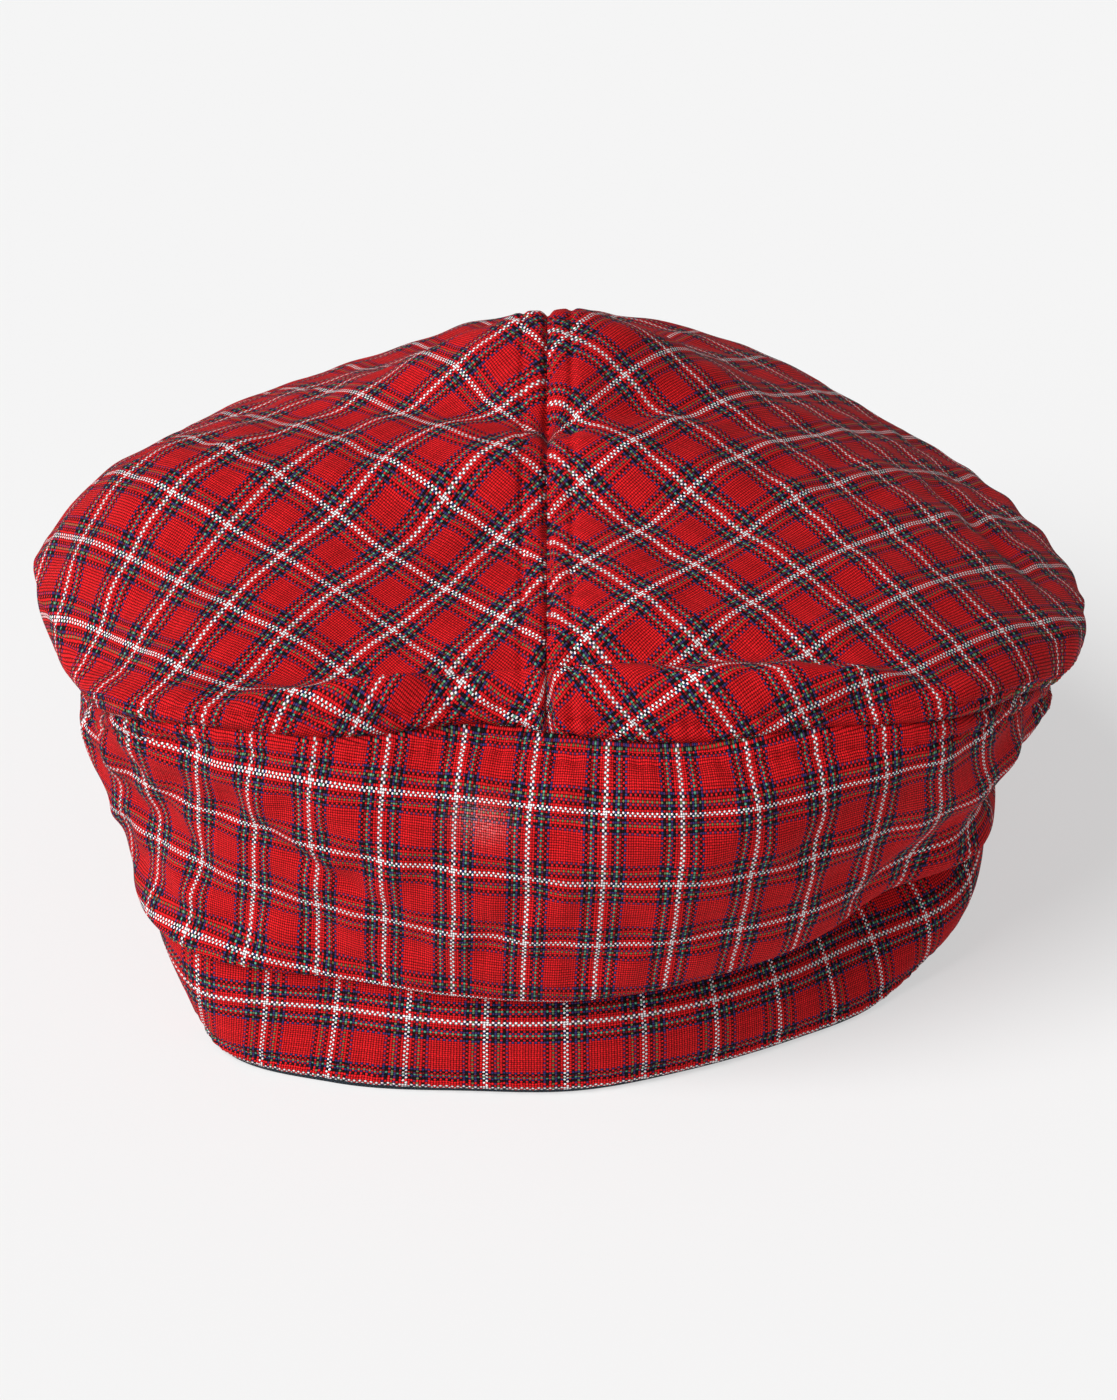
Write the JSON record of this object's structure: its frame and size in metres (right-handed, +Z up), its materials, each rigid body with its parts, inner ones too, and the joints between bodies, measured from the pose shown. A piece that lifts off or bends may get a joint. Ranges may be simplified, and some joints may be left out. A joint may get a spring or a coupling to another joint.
{
  "type": "soft checked cloth cap",
  "caption": "Soft round cap of red checked cotton with a slouching two-piece crown, a deep side wall folding over a straight head band, and a dark facing inside.",
  "frame": {"origin": "on the surface it stands on, under the middle of its box", "axes": "+Z up out of the surface, +Y from the steep front, which the picture faces, to the slouching back, +X to the wearer's left as the picture shows it on the right"},
  "size_m": [0.2836, 0.2498, 0.1573],
  "materials": {
    "crown_cloth": "matt yarn-dyed check on the bias",
    "wall_cloth": "matt yarn-dyed check on the straight grain",
    "band_cloth": "matt yarn-dyed check on the cross grain, edge stitched",
    "facing_cloth": "matt dark plain weave"
  },
  "bodies": {
    "root": {"crown_left": "crown_cloth", "crown_right": "crown_cloth", "side_wall": "wall_cloth", "band": "band_cloth", "facing": "facing_cloth"}
  },
  "joints": []
}
